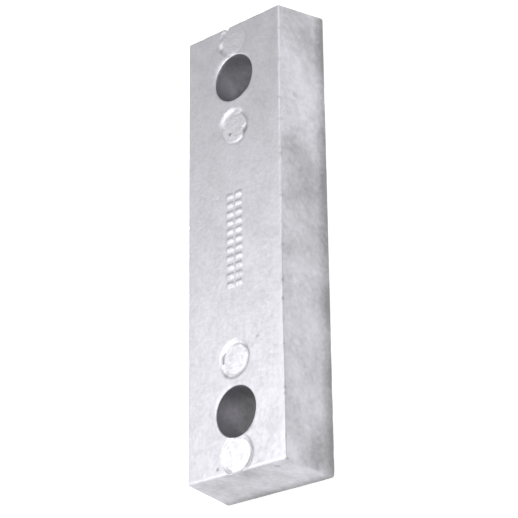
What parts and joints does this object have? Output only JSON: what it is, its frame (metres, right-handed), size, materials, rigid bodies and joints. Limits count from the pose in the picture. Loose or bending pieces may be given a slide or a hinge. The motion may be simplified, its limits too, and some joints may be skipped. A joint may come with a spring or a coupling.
{
  "type": "sacrificial anode",
  "caption": "Rectangular bar sacrificial anode with drafted sides, plain bolt holes through its thickness and shallow ring-grooved pin marks on its front face.",
  "frame": {"origin": "centre of the flat mounting face at the back of the bar", "axes": "+X along the bar, +Y across it, +Z out of the front face, away from the hull or bracket that the bar is bolted to"},
  "size_m": [0.1398, 0.0394, 0.0184],
  "materials": {
    "cast_zinc": "satin"
  },
  "bodies": {
    "root": {"anode": "cast_zinc"}
  },
  "joints": []
}
